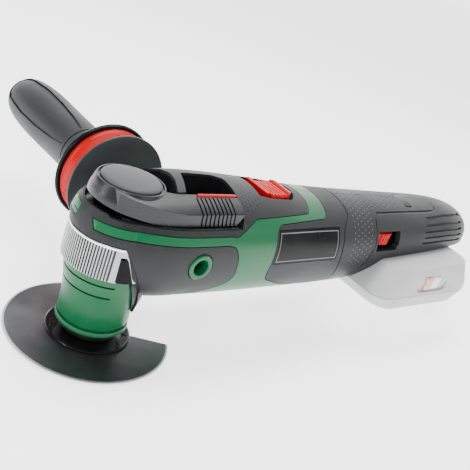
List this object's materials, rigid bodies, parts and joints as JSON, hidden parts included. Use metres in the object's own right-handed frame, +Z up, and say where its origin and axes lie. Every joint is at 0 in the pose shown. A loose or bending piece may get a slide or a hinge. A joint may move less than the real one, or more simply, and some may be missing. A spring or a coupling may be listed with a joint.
{
  "type": "oscillating multi tool",
  "caption": "Cordless oscillating multi tool: slim barrel body, clamping lever, segment saw blade, screw-in side handle and slide-on battery pack.",
  "frame": {"origin": "spindle axis in the plane of the blade's underside, at the end face of the clamp rod", "axes": "+X from the spindle towards the rear end, +Y towards the side handle, +Z up along the spindle, away from the blade"},
  "size_m": [0.3375, 0.2408, 0.0884],
  "materials": {
    "green_shell": "satin moulded plastic",
    "soft_grip": "soft-touch, fine grain",
    "gloss_black": "gloss",
    "disc_grey": "satin",
    "red_plastic": "satin gloss",
    "bright_aluminium": "machined",
    "ground_steel": "ground",
    "blackened_steel": "blackened, satin",
    "copper_winding": "varnished copper wire",
    "frosted_pale": "frosted",
    "board_green": "solder-masked board",
    "cell_wrap": "shrink-wrapped cell"
  },
  "bodies": {
    "tool": {"housing_near": "green_shell", "housing_far": "green_shell", "head_grip": "soft_grip", "mid_grip": "soft_grip", "name_plate": "gloss_black", "rear_shell_near": "soft_grip", "rear_shell_far": "soft_grip", "neck_sleeve": "green_shell", "handle_insert_near": "green_shell", "handle_insert_far": "green_shell", "gear_head": "bright_aluminium", "band_window_near": "gloss_black", "band_window_far": "gloss_black", "lower_bearing": "ground_steel", "upper_bearing": "ground_steel", "bearing_plate": "bright_aluminium", "lever_bracket": "ground_steel", "motor_can": "ground_steel", "motor_magnet": "blackened_steel", "motor_mount": "bright_aluminium", "front_bearing": "ground_steel", "rear_bearing": "ground_steel", "rear_bracket": "soft_grip", "control_board": "board_green", "dial_post": "board_green", "status_window": "gloss_black", "dock_foot": "gloss_black"},
    "lever": {"lever_body": "soft_grip", "lever_disc": "disc_grey", "lever_pin": "ground_steel", "lever_cam": "ground_steel", "lever_strip": "red_plastic"},
    "spindle": {"spindle": "ground_steel", "tool_holder": "blackened_steel", "rocker_fork": "ground_steel", "clamp_spring": "ground_steel"},
    "clamp": {"clamp_rod": "ground_steel"},
    "blade": {"blade": "blackened_steel", "blade_hub": "blackened_steel"},
    "rotor": {"rotor_shaft": "ground_steel", "rotor_core": "copper_winding", "cooling_fan": "frosted_pale", "eccentric_bearing": "ground_steel"},
    "switch": {"switch_button": "red_plastic"},
    "dial": {"speed_dial": "red_plastic"},
    "side_handle": {"handle_grip": "soft_grip", "handle_outer_flange": "gloss_black", "handle_red_ring": "red_plastic", "handle_inner_disc": "soft_grip", "handle_stud": "ground_steel"},
    "battery": {"battery_top": "frosted_pale", "battery_base": "frosted_pale", "battery_gauge": "frosted_pale", "battery_terminals": "gloss_black", "battery_cell_1": "cell_wrap", "battery_cell_2": "cell_wrap", "battery_cell_3": "cell_wrap", "battery_cell_4": "cell_wrap", "battery_cell_5": "cell_wrap"},
    "battery_latch": {"battery_button": "red_plastic"}
  },
  "joints": [
    {"name": "lever_hinge", "type": "hinge", "parent": "tool", "child": "lever", "pos_m": [-0.0144, 0, 0.077], "axis": [0, -1, 0], "range_deg": [0, 65]},
    {"name": "spindle_swing", "type": "hinge", "parent": "tool", "child": "spindle", "pos_m": [0, 0, 0], "axis": [0, 0, 1], "range_deg": [-1.6, 1.6]},
    {"name": "clamp_slide", "type": "slide", "parent": "spindle", "child": "clamp", "axis": [0, 0, 1], "range_m": [0, 0.0015]},
    {"name": "blade_release", "type": "slide", "parent": "spindle", "child": "blade", "axis": [0, 0, -1], "range_m": [0, 0.02]},
    {"name": "rotor_spin", "type": "hinge", "parent": "tool", "child": "rotor", "pos_m": [0.1, 0, 0.0545], "axis": [1, 0, 0], "continuous": true},
    {"name": "switch_slide", "type": "slide", "parent": "tool", "child": "switch", "axis": [-1, 0, 0], "range_m": [0, 0.006]},
    {"name": "dial_turn", "type": "hinge", "parent": "tool", "child": "dial", "pos_m": [0.1783, -0.0143, 0.0626], "axis": [0, 0, 1], "range_deg": [0, 270]},
    {"name": "side_handle_unscrew", "type": "slide", "parent": "tool", "child": "side_handle", "axis": [0, 1, 0], "range_m": [0, 0.03]},
    {"name": "battery_slide", "type": "slide", "parent": "tool", "child": "battery", "axis": [0, -1, 0], "range_m": [0, 0.08]},
    {"name": "latch_press", "type": "slide", "parent": "battery", "child": "battery_latch", "axis": [0, 1, 0], "range_m": [0, 0.0012], "stiffness_N_per_m": 500, "springref_m": -0.0005}
  ],
  "couplings": [
    {"joint": "clamp_slide", "follows": "lever_hinge", "m_per_rad": 0.0013221}
  ]
}
